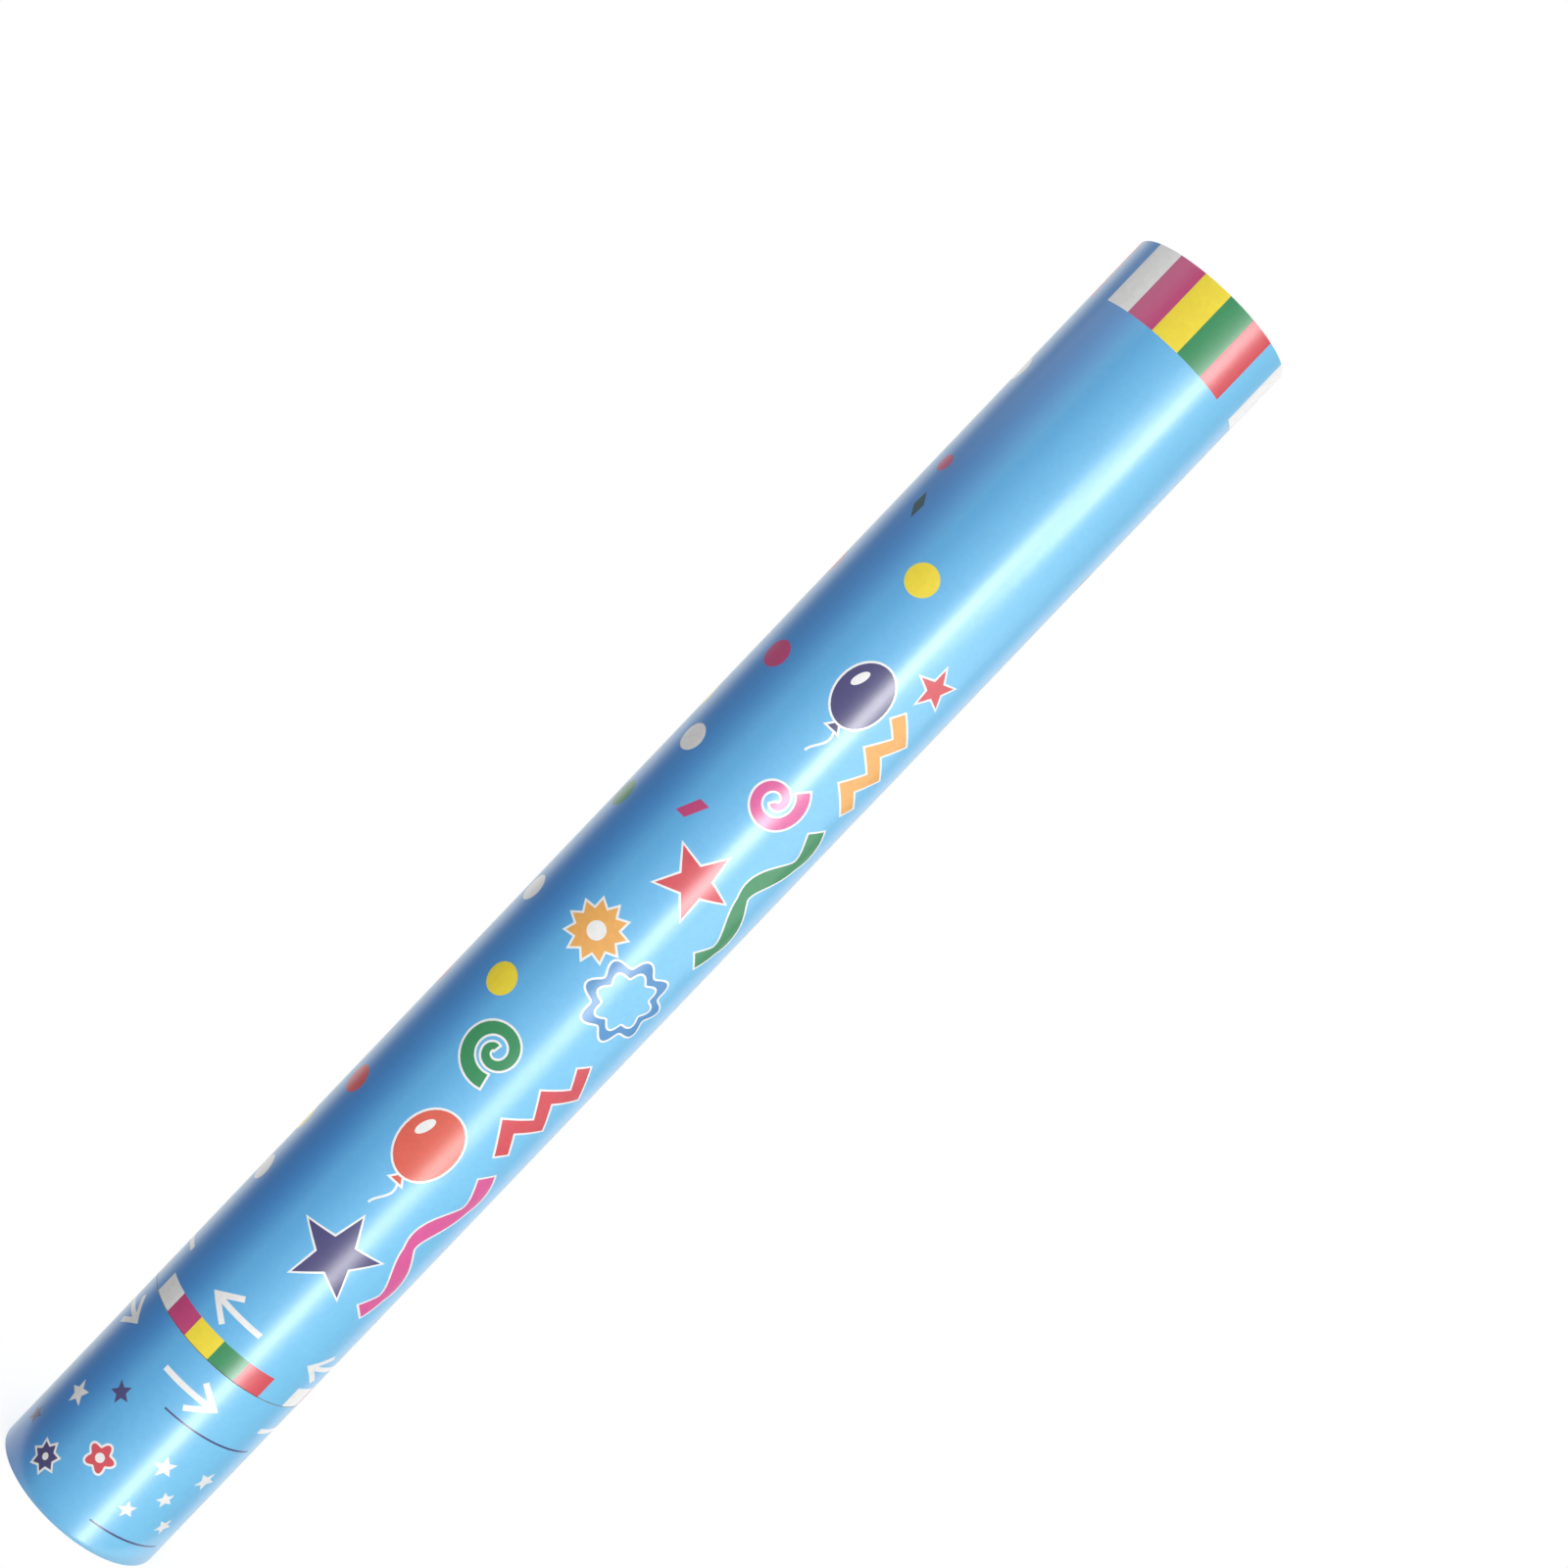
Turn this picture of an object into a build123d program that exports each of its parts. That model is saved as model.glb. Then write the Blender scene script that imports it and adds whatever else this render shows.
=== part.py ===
from build123d import *
import os
from math import asin, cos, degrees, pi, sin, sqrt, tau

# Confetti popper fired by a twist. A printed paper barrel stands on a short turning grip.
# The grip holds a tank of compressed air. Turning it draws a sealed plug out of the tank's
# neck, and the air throws the wad, the tissue confetti and the muzzle lid up the barrel.
# Millimetres, +Z towards the muzzle, origin at the middle of the base.

# Paper tubes and their printed wraps
overall_length = 400.0      # base to muzzle rim
grip_length = 53.2          # the part that turns
split_gap = 0.4             # open line between grip and barrel
bore_radius = 22.0
tube_wall = 1.3
label_thickness = 0.2

# Fits
glue_gap = 0.05             # glued and pressed pieces, radial
turning_clearance = 0.08    # grip tube on coupler, radial
loose_clearance = 0.3       # pieces that pass each other freely
seal_clearance = 0.03       # rubber rings in their grooves

# Coupler: inner paper tube on which the grip turns
coupler_wall = 1.4
coupler_glued_length = 44.0
coupler_end_gap = 6.0       # above the cap's cradle

# Base cap: closes the grip and seats the tank
cap_floor = 2.0
cap_recess = 1.0            # hollow under the floor
cap_foot_width = 5.0        # ring that it stands on
cap_rim_chamfer = 0.8
seat_height = 10.0          # underside of the tank
seat_width = 4.0
cradle_height = 12.0        # skirt beside the tank

# Air tank and its head
tank_clearance = 0.5        # inside the coupler
tank_wall = 1.0
tank_corner = 3.0
lip_thickness = 1.0         # edge rolled over the head
lip_width = 2.4
head_thickness = 10.0
neck_length = 14.0
neck_bore = 8.0
neck_chamfer = 0.8
head_seal_section = 1.0     # radius of the rubber
plug_seal_section = 0.9

# Cam sleeve and key ring
flange_rise = 8.0           # above the head
flange_thickness = 3.0
flange_play = 0.3           # along the axis
flange_clearance = 0.5      # inside the barrel
key_wall = 4.5
sleeve_wall = 3.0
slot_clearance = 0.3
sleeve_roof = 2.6           # above the slots
key_roof = 4.4

# Release plug and its cross pin
twist_angle = 90.0
plug_lift = 7.0
plug_clearance = 0.06
plug_seat_gap = 0.2
plug_cover = 2.5            # above the pin
flow_gap = 1.5              # around the plug's head
seal_depth = 4.3            # below the neck's mouth
groove_play = 0.3           # beside the rubber, each way
guide_length = 12.0
flute_count = 4
flute_width = 4.0
flute_depth = 3.5
flute_stop = 0.9            # land left under the seal's groove
pin_radius = 2.0
pin_rise = 6.0              # above the neck's mouth
pin_engagement = 2.8        # in the key ring
pin_chamfer = 0.4

# Wad, confetti and lid
wad_thickness = 6.0
free_length = 80.0          # empty barrel above the confetti
confetti_radius = 5.0
confetti_gap = 0.2
confetti_layers = 8
confetti_colours = ("red", "yellow", "green", "pink", "white")
lid_depth = 5.0
lid_wall = 0.8

# Fill valve in the tank's base
valve_stem_radius = 4.0
valve_stem_drop = 6.0       # below the tank
valve_flange_radius = 6.5
valve_flange_thickness = 2.0
valve_bore = 1.3
valve_cup_radius = 4.8
valve_cup_wall = 1.2
gasket_thickness = 0.8
nut_across_flats = 13.0
nut_height = 4.0
poppet_head_thickness = 2.0
poppet_travel = 1.5
poppet_stub_radius = 1.2
poppet_stub_height = 2.0
poppet_end_gap = 1.5        # left above the stub when it is open
spring_wire = 0.25          # radius
spring_turns = 4
retainer_thickness = 1.0

# Radii that follow from the bore inwards
tube_outer = bore_radius + tube_wall
label_outer = tube_outer + label_thickness
coupler_outer = bore_radius - turning_clearance
coupler_inner = coupler_outer - coupler_wall
tank_outer = coupler_inner - tank_clearance
tank_inner = tank_outer - tank_wall
head_radius = tank_inner - glue_gap
key_outer = bore_radius - glue_gap
key_inner = key_outer - key_wall
sleeve_outer = key_inner - loose_clearance
sleeve_inner = sleeve_outer - sleeve_wall
neck_outer = sleeve_inner - glue_gap
flange_outer = bore_radius - flange_clearance
stem_radius = neck_bore - plug_clearance
plug_head_radius = sleeve_inner - flow_gap
pin_tip = key_inner + pin_engagement
wad_radius = bore_radius - loose_clearance
lid_radius = bore_radius - glue_gap
cap_radius = bore_radius - glue_gap

# Heights that follow from the base upwards
barrel_bottom = grip_length + split_gap
cradle_top = seat_height + cradle_height
coupler_bottom = cradle_top + coupler_end_gap
coupler_top = barrel_bottom + coupler_glued_length
flange_bottom = coupler_top + flange_play
flange_top = flange_bottom + flange_thickness
head_top = flange_bottom - flange_rise
head_bottom = head_top - head_thickness
neck_top = head_top + neck_length
pin_height = neck_top + pin_rise
slot_half = pin_radius + slot_clearance
slot_top = pin_height + plug_lift + slot_half
sleeve_top = slot_top + sleeve_roof
key_bottom = flange_top + flange_play
key_top = slot_top + key_roof
wad_top = key_top + wad_thickness
lid_bottom = overall_length - lid_depth
confetti_top = lid_bottom - free_length
tank_floor = seat_height + tank_wall
valve_flange_bottom = tank_floor + gasket_thickness
valve_flange_top = valve_flange_bottom + valve_flange_thickness
poppet_top = valve_flange_top + poppet_head_thickness + poppet_stub_height
retainer_bottom = poppet_top + poppet_travel + poppet_end_gap
valve_cup_top = retainer_bottom + retainer_thickness


def turned(*outline):
    """Solid of revolution about Z from (radius, height) corners."""
    corners = [(radius, 0, height) for radius, height in outline]
    return revolve(make_face(Polyline(*corners, close=True)), Axis.Z)


def tube(outer, inner, bottom, top):
    return turned((inner, bottom), (outer, bottom), (outer, top), (inner, top))


def rubber_ring(outer, section, height):
    """Seal ring of round section that reaches out to the given radius."""
    return Pos(0, 0, height) * Torus(outer - section, section)


def barrel_tube():
    return tube(tube_outer, bore_radius, barrel_bottom, overall_length)


def barrel_label():
    return tube(label_outer, tube_outer, barrel_bottom, overall_length)


def grip_tube():
    return tube(tube_outer, bore_radius, 0, grip_length)


def grip_label():
    return tube(label_outer, tube_outer, 0, grip_length)


def coupler_tube():
    return tube(coupler_outer, coupler_inner, coupler_bottom, coupler_top)


def base_cap():
    """Cup with a standing foot, a seat for the tank and a skirt around it."""
    foot_inner = cap_radius - cap_foot_width
    seat_inner = tank_outer - seat_width
    cradle_inner = tank_outer + glue_gap
    floor_top = cap_recess + cap_floor
    return turned(
        (0, cap_recess),
        (foot_inner - cap_recess, cap_recess),
        (foot_inner, 0),
        (cap_radius - cap_rim_chamfer, 0),
        (cap_radius, cap_rim_chamfer),
        (cap_radius, cradle_top),
        (cradle_inner, cradle_top),
        (cradle_inner, seat_height),
        (seat_inner, seat_height),
        (seat_inner, floor_top),
        (0, floor_top),
    )


def air_tank():
    """Drawn can with a hole for the fill valve and its edge rolled over the head."""
    lip_top = head_top + lip_thickness
    outside = turned((0, seat_height), (tank_outer, seat_height), (tank_outer, lip_top), (0, lip_top))
    outside = fillet(outside.edges().group_by(Axis.Z)[0], tank_corner)
    inside = turned((0, tank_floor), (tank_inner, tank_floor), (tank_inner, head_top), (0, head_top))
    inside = fillet(inside.edges().group_by(Axis.Z)[0], tank_corner - tank_wall)
    mouth = tube(tank_outer - lip_width, 0, head_top, lip_top)
    valve_hole = tube(valve_stem_radius + glue_gap, 0, seat_height, tank_floor)
    return outside - inside - mouth - valve_hole


def tank_head():
    """Disc with a seal groove, and the neck that the plug closes."""
    disc = tube(head_radius, neck_bore, head_bottom, head_top)
    groove_floor = tank_inner - 2 * (head_seal_section + seal_clearance)
    groove_middle = (head_bottom + head_top) / 2
    groove_half = head_seal_section + groove_play
    groove = tube(tank_inner, groove_floor, groove_middle - groove_half, groove_middle + groove_half)
    neck = turned(
        (neck_bore, head_top),
        (neck_outer, head_top),
        (neck_outer, neck_top),
        (neck_bore + neck_chamfer, neck_top),
        (neck_bore, neck_top - neck_chamfer),
    )
    return disc - groove + neck


def head_seal():
    middle = (head_bottom + head_top) / 2
    return rubber_ring(tank_inner - seal_clearance, head_seal_section, middle)


def helical_slot():
    """Space that the cross pin sweeps through one side of the sleeve as the grip turns."""
    middle = (sleeve_inner + sleeve_outer) / 2
    run_out = degrees(asin(slot_half / sleeve_inner))
    rise_per_turn = plug_lift * 360 / twist_angle
    height = rise_per_turn * (twist_angle + 2 * run_out) / 360
    path = Helix(rise_per_turn, height, middle, lefthand=True)
    section = Plane(path @ 0, x_dir=(1, 0, 0), z_dir=path % 0) * Rectangle(2 * sleeve_wall, 2 * slot_half)
    start = Pos(0, 0, pin_height - rise_per_turn * run_out / 360) * Rot(0, 0, run_out)
    return start * sweep(section, path=path, is_frenet=True)


def cam_sleeve():
    """Sleeve on the neck: a flange caught in the barrel and two helical slots."""
    body = turned(
        (sleeve_inner, head_top),
        (sleeve_outer, head_top),
        (sleeve_outer, flange_bottom),
        (flange_outer, flange_bottom),
        (flange_outer, flange_top),
        (sleeve_outer, flange_top),
        (sleeve_outer, sleeve_top),
        (sleeve_inner, sleeve_top),
    )
    slot = helical_slot()
    return body - slot - Rot(0, 0, 180) * slot


def key_ring():
    """Ring in the barrel with two straight slots, open below. The wad rests on it."""
    body = tube(key_outer, key_inner, key_bottom, key_top)
    slot_length = 2 * (pin_tip + slot_clearance)
    slot_height = slot_top - key_bottom
    slots = Pos(0, 0, key_bottom) * Box(
        slot_length, 2 * slot_half, slot_height, align=(Align.CENTER, Align.CENTER, Align.MIN)
    )
    return body - slots


def cross_pin():
    length = 2 * pin_tip
    pin = Cylinder(pin_radius, length, rotation=(0, 90, 0))
    return Pos(0, 0, pin_height) * chamfer(pin.edges().filter_by(GeomType.CIRCLE), pin_chamfer)


def release_plug():
    """Head with the cross hole, a stem with the seal groove, and a fluted guide."""
    seal_height = neck_top - seal_depth
    groove_floor = neck_bore - 2 * (plug_seal_section + seal_clearance)
    groove_half = plug_seal_section + groove_play
    guide_top = seal_height - groove_half
    guide_bottom = guide_top - guide_length
    head_low = neck_top + plug_seat_gap
    head_high = pin_height + pin_radius + plug_cover
    body = turned(
        (0, guide_bottom),
        (stem_radius, guide_bottom),
        (stem_radius, guide_top),
        (groove_floor, guide_top),
        (groove_floor, seal_height + groove_half),
        (stem_radius, seal_height + groove_half),
        (stem_radius, head_low),
        (plug_head_radius, head_low),
        (plug_head_radius, head_high),
        (0, head_high),
    )
    hole = Pos(0, 0, pin_height) * Cylinder(pin_radius + glue_gap, 3 * plug_head_radius, rotation=(0, 90, 0))
    body -= hole
    flute = Pos(stem_radius, 0, guide_bottom) * Box(
        2 * flute_depth, flute_width, guide_length - flute_stop,
        align=(Align.CENTER, Align.CENTER, Align.MIN),
    )
    for turn in range(flute_count):
        body -= Rot(0, 0, 360 * turn / flute_count) * flute
    return body


def plug_seal():
    return rubber_ring(neck_bore - seal_clearance, plug_seal_section, neck_top - seal_depth)


def pusher_wad():
    return tube(wad_radius, 0, key_top, wad_top)


def confetti_columns():
    """Middles of the columns of stacked discs, in rings from the wall inwards."""
    pitch = 2 * confetti_radius + confetti_gap
    ring = wad_radius - confetti_radius - confetti_gap
    columns = []
    while ring > pitch / 2:
        count = int(pi / asin(pitch / 2 / ring))
        for place in range(count):
            angle = tau * place / count
            columns.append((ring * cos(angle), ring * sin(angle)))
        ring -= pitch
    return columns


def confetti(colour_number):
    """Stacks of one colour of tissue discs; colours alternate along and across the columns."""
    height = (confetti_top - wad_top) / confetti_layers
    stacks = []
    for column, (x, y) in enumerate(confetti_columns()):
        for layer in range(confetti_layers):
            if (column + 2 * layer) % len(confetti_colours) == colour_number:
                low = wad_top + layer * height
                stack = Cylinder(confetti_radius, height, align=(Align.CENTER, Align.CENTER, Align.MIN))
                stacks.append(Pos(x, y, low) * stack)
    return Compound(children=stacks)


def muzzle_lid():
    """Shallow card cup pushed into the barrel, its edge level with the rim."""
    return turned(
        (0, lid_bottom),
        (lid_radius, lid_bottom),
        (lid_radius, overall_length),
        (lid_radius - lid_wall, overall_length),
        (lid_radius - lid_wall, lid_bottom + lid_wall),
        (0, lid_bottom + lid_wall),
    )


def fill_valve_body():
    """Stem through the tank's base, flange above the gasket, and the cup for the poppet."""
    cup_inner = valve_cup_radius - valve_cup_wall
    return turned(
        (valve_bore, seat_height - valve_stem_drop),
        (valve_stem_radius, seat_height - valve_stem_drop),
        (valve_stem_radius, valve_flange_bottom),
        (valve_flange_radius, valve_flange_bottom),
        (valve_flange_radius, valve_flange_top),
        (valve_cup_radius, valve_flange_top),
        (valve_cup_radius, valve_cup_top),
        (cup_inner, valve_cup_top),
        (cup_inner, valve_flange_top),
        (valve_bore, valve_flange_top),
    )


def fill_valve_gasket():
    return tube(valve_flange_radius, valve_stem_radius + glue_gap, tank_floor, valve_flange_bottom)


def fill_valve_nut():
    hexagon = RegularPolygon(nut_across_flats / 2, 6, major_radius=False)
    hexagon -= Circle(valve_stem_radius + glue_gap)
    return Pos(0, 0, seat_height - nut_height) * extrude(hexagon, nut_height)


def fill_valve_poppet():
    """Head on the seat, stem in the bore below, stub inside the spring above."""
    cup_inner = valve_cup_radius - valve_cup_wall
    head_outer = cup_inner - loose_clearance
    head_high = valve_flange_top + poppet_head_thickness
    stem_outer = valve_bore - loose_clearance
    return turned(
        (0, valve_flange_bottom),
        (stem_outer, valve_flange_bottom),
        (stem_outer, valve_flange_top),
        (head_outer, valve_flange_top),
        (head_outer, head_high),
        (poppet_stub_radius, head_high),
        (poppet_stub_radius, poppet_top),
        (0, poppet_top),
    )


def coil_path(radius, low, high, turns):
    """Helix drawn as pairs of tangent arcs, two to each quarter turn."""
    quarters = 4 * turns
    rise = (high - low) / quarters
    slope = Vector(0, radius, rise * 4 / tau).normalized()
    edges = []
    for quarter in range(quarters):
        ends = []
        for step in (quarter, quarter + 1):
            angle = 90 * step
            point = Vector(radius, 0, low + rise * step).rotate(Axis.Z, angle)
            ends.append((point, slope.rotate(Axis.Z, angle)))
        (start, leaving), (finish, arriving) = ends
        chord = finish - start
        along = chord.dot(leaving + arriving)
        spread = 2 * (1 - leaving.dot(arriving))
        reach = (sqrt(along * along + spread * chord.dot(chord)) - along) / spread
        first = start + leaving * reach
        second = finish - arriving * reach
        middle = (first + second) * 0.5
        edges.append(TangentArc(start, middle, tangent=leaving))
        edges.append(TangentArc(middle, finish, tangent=second - first))
    return Wire(edges)


def fill_valve_spring():
    cup_inner = valve_cup_radius - valve_cup_wall
    coil_radius = (poppet_stub_radius + cup_inner) / 2
    low = valve_flange_top + poppet_head_thickness + spring_wire
    high = retainer_bottom - spring_wire
    path = coil_path(coil_radius, low, high, spring_turns)
    section = Plane(path @ 0, z_dir=path % 0) * Circle(spring_wire)
    return sweep(section, path=path)


def fill_valve_retainer():
    outer = valve_cup_radius - valve_cup_wall - glue_gap
    return tube(outer, poppet_stub_radius + loose_clearance, retainer_bottom, valve_cup_top)


def all_nodes():
    nodes = {
        "barrel_tube": barrel_tube(),
        "barrel_label": barrel_label(),
        "grip_tube": grip_tube(),
        "grip_label": grip_label(),
        "coupler_tube": coupler_tube(),
        "base_cap": base_cap(),
        "air_tank": air_tank(),
        "tank_head": tank_head(),
        "head_seal": head_seal(),
        "cam_sleeve": cam_sleeve(),
        "key_ring": key_ring(),
        "release_plug": release_plug(),
        "plug_seal": plug_seal(),
        "cross_pin": cross_pin(),
        "pusher_wad": pusher_wad(),
        "muzzle_lid": muzzle_lid(),
        "fill_valve_body": fill_valve_body(),
        "fill_valve_gasket": fill_valve_gasket(),
        "fill_valve_nut": fill_valve_nut(),
        "fill_valve_poppet": fill_valve_poppet(),
        "fill_valve_spring": fill_valve_spring(),
        "fill_valve_retainer": fill_valve_retainer(),
    }
    for number, colour in enumerate(confetti_colours):
        nodes["confetti_" + colour] = confetti(number)
    return nodes


os.makedirs("parts", exist_ok=True)
for name, shape in all_nodes().items():
    export_step(shape, "parts/" + name + ".step")
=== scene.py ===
import math

import bpy
import numpy as np
from mathutils import Matrix, Vector
from mathutils.bvhtree import BVHTree
from mathutils.geometry import delaunay_2d_cdt


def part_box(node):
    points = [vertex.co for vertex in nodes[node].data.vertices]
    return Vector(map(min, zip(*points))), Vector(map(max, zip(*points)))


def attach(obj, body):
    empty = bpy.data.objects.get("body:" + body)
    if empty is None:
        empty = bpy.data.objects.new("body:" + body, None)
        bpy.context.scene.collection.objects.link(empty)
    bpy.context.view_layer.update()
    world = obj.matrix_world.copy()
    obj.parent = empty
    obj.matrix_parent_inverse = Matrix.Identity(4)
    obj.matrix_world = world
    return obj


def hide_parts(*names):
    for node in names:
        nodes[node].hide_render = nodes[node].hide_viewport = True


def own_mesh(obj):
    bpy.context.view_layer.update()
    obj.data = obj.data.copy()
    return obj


# Looks of a twist-fired confetti popper: a printed paper tube that stands on its turning grip.
# The scene is in metres. Prints and meshes are laid out in millimetres, prints on the unrolled
# wrap: arc length to the right of the front, then height. Angles are in degrees from the front,
# positive to the right.

MM = 0.001

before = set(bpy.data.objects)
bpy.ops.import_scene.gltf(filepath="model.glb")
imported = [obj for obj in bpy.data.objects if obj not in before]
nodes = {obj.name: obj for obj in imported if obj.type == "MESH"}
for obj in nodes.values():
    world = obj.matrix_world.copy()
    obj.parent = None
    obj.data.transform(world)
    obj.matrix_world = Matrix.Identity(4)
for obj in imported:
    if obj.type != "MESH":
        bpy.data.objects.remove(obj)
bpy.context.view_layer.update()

# Sizes read from the frame, in millimetres
wrap_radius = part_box("barrel_label")[1].x / MM
tube_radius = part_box("barrel_tube")[1].x / MM
barrel_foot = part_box("barrel_label")[0].z / MM
muzzle_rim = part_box("barrel_label")[1].z / MM
wad_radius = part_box("pusher_wad")[1].x / MM

# Printed wraps, in millimetres and degrees
column_step = 3.0           # between the wrap's upright edges
row_step = 12.0             # between its level edges
lap_height = 0.08           # the film's end lies over its start
lap_angle = 11.0
lap_run = 2.0               # over which the film climbs
edge_round = 0.06           # cut edges are pressed in a little
edge_height = 0.25
foot_overhang = 0.2         # the barrel's film hangs over the twist gap
barrel_seam = 249.0         # angle of the lap
grip_seam = 258.0
inside_only = 1             # triangulation without what lies outside the wrap
cut_tolerance = 1e-4        # within which points of the cut print become one
border_tolerance = 1e-3     # within which a point lies on the wrap's border

# Map that unrolls the film: its printed side, and a narrow strip for its edges and its back
map_margin = 0.01
map_height = 0.98
map_print_width = 0.93
map_back_start = 0.955
map_back_width = 0.035

# Inks, and the film's bare edges and back, as screen colours
ink_colours = {
    "white": "f8f8f7", "magenta": "c9377a", "yellow": "ffe528", "green": "1f9056",
    "teal": "004a58", "red": "dc4652", "navy": "403d78", "pink": "e4589f",
    "scarlet": "e45a44", "orange": "f4b052", "blue": "3f8fcb", "film_edge": "eceff2",
}

# Clear film over the print
film_sockets = {"Coat_Weight": 1.0, "Coat_Roughness": 0.3, "Coat_IOR": 1.95}

# Blue ground with painted light and shade: deep with painted shade on two sides of the tube, clear
# between, and lighter with painted light towards the motifs, on the key lamps' side and opposite it
sky_painted_shade = "308add"
sky_clear = "59b5ee"
sky_painted_light = "7ccef7"
painted_light_angle = 38.0      # of the brightest line of painted light, facing the key lamps; a second one runs opposite
clear_share = 0.25          # squared cosine, from that line, at which the painted shade has cleared
painted_light_start = 0.35           # and at which the painted light starts

# Block bands: groups of five colours, with a bare place between the groups
block_inks = ("white", "magenta", "yellow", "green", "red")
block_groups = 3
block_angle = 19.5
muzzle_band_start = -55.5
muzzle_band_height = 18.4
foot_band_start = -59.0
foot_band_height = 5.8

# Turn arrows round the twist line
arrow_turns = (0.0, 77.0, 147.0, 213.0, 283.0)
arrow_stroke = 1.5
arrow_barb_run = 6.0
arrow_barb_rise = 4.0
barrel_arrow = (12.8, -23.0, 65.8)      # tail angle, tip angle, height
grip_arrow = (-15.0, 23.2, 45.1)

# Outlines of the printed motifs
outline_width = 0.55
tip_limit = 2.2             # longest corner of a grown outline, in widths
rule_width = 0.5
dot_corners = 30
star_waist = 0.42           # inner corners of a five-pointed star, as a share of its tips
small_star_waist = 0.45
streamer_narrow = 0.55      # share of its width where a streamer turns edge-on
streamer_swell = 0.45       # and what it gains where it faces out
streamer_lag = 0.5          # radians of its wave between its bends and its narrow places
curl_start = 0.12           # share of its spiral that a curl leaves out at the middle
curl_narrow = 0.35          # share of its width there
curl_swell = 0.65           # and what it gains up to the rim

# Balloons: a knot and a string below, and a shine
knot_outline = ((0, 0.6), (-1.5, -1.5), (1.5, -1.5))
knot_drop = 0.4             # under the balloon's foot
string_drop = 1.0
string_length = 9.0
string_sway = 1.3
string_wave = 4.6           # radians
string_width = 0.6
string_points = 14
shine_size = (0.16, 0.3)    # shares of the balloon's half width and half height
shine_place = (-0.5, 0.3)
shine_turn = -18.0
shine_corners = 20

# Confetti: loose tissue discs
tissue_colours = {
    "red": "d0101a", "yellow": "eee096", "green": "22a856", "pink": "dd61a6", "white": "ecebe6",
}
patch_share = 0.08          # scale of paper's uneven tone, as a share of its fibres'
confetti_seed = 5
disc_radius = 5.0
disc_thickness = 0.12
disc_corners = 20
disc_rings = (0.5, 1.0)     # shares of the radius
disc_points = 4 * disc_corners + 2
disc_faces = 5 * disc_corners
disc_bend = 0.8             # largest rise of a curled disc from its middle to its rim
bend_level = 0.5            # share of that rise below the plane in which the disc was laid
bend_rounds = 6             # in which discs that cut each other are curled half as much
disc_room = 0.4             # kept free beside each disc
disc_tries = 14000
flat_limit = 0.9            # upward share of its normal from which a disc lies nearly level
least_slope = 1e-6          # between two discs, so that parallel ones don't divide by zero
packet_share = 0.5          # share of the tries that put a disc beside one that lies already
packet_gaps = (0.6, 2.0)
packet_slip = 2.0
packet_tilt = 0.08

# Felt wad
wad_plies = 3
wad_soft = 0.5              # rounding of a ply's edge
wad_shoulder = 0.12         # how far in the rounding is at its shoulder
wad_shoulder_share = 0.3    # of the rounding's height
wad_sag = 0.25              # in the middle of its top
wad_half_sag = 0.15         # half-way out

# Spring of the fill valve
spring_wire = 0.25          # radius
spring_turns = 4
spring_steps = 40           # in each turn
spring_sides = 10

# Floor, in metres: its own light grows from the shadow's inner to its outer reach
floor_radius = 0.045
floor_setback = 0.02
floor_corners = 96
shadow_inner = 0.024
shadow_outer = 0.043
floor_own_light = 0.4
floor_grey = 0.8
floor_grain = 0.01

# Lamps: angles of foot and head, distance, width, heights of foot and head, radiance
lamp_panels = {
    "key_foot": (38.0, 38.0, 0.8, 0.16, -0.45, -0.12, 9.0),
    "key_middle": (42.0, 42.0, 0.8, 0.28, -0.12, 0.11, 3.0),
    "key_strip": (36.5, 36.5, 0.8, 0.15, 0.12, 0.445, 10.9),
    "key_head": (49.0, 57.0, 0.8, 0.22, 0.46, 0.59, 9.2),
    "front_fill": (-5.0, -5.0, 1.2, 0.8, -0.2, 0.6, 1.3),
    "side_fill": (86.0, 86.0, 1.2, 1.0, 0.0, 0.45, 0.95),
    "upper_fill": (-80.0, -80.0, 1.2, 1.6, 0.53, 1.1, 0.68),
}
matt_lamps = ("front_fill",)    # kept out of reflections, which would veil the inks

# Studio round the object: a level, and what each side adds to it as a direction turns that way
studio_level = 0.16
behind_start = 0.45         # part of a direction along the axis at which this side begins
behind_full = 0.8           # and at which it is full
studio_sides = (            # axis, where it begins, where it is full, gain
    ("Y", behind_start, behind_full, 0.88),
    ("Y", -0.35, -0.65, 0.1),
    ("Z", 0.5, 0.9, 0.9),
    ("Z", -0.5, -0.9, 0.6),
)

# Camera, as the photograph was framed
tube_lean = 46.31           # degrees from level to the tube's picture
camera_distance = 0.5916
camera_height = 0.2525
camera_lens = 55.62
camera_sensor = 36.0
camera_clip = 0.01
camera_pan = 0.446          # degrees to the right of the tube's axis
camera_tilt = -0.727        # degrees up from level


# Colours and materials

def tint(code, share=1.0):
    """Linear colour of a six-digit sRGB colour, made darker or lighter by a share."""
    channels = [int(code[i:i + 2], 16) / 255 for i in (0, 2, 4)]
    linear = [c / 12.92 if c <= 0.04045 else ((c + 0.055) / 1.055) ** 2.4 for c in channels]
    return [min(1.0, c * share) for c in linear] + [1.0]


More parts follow.
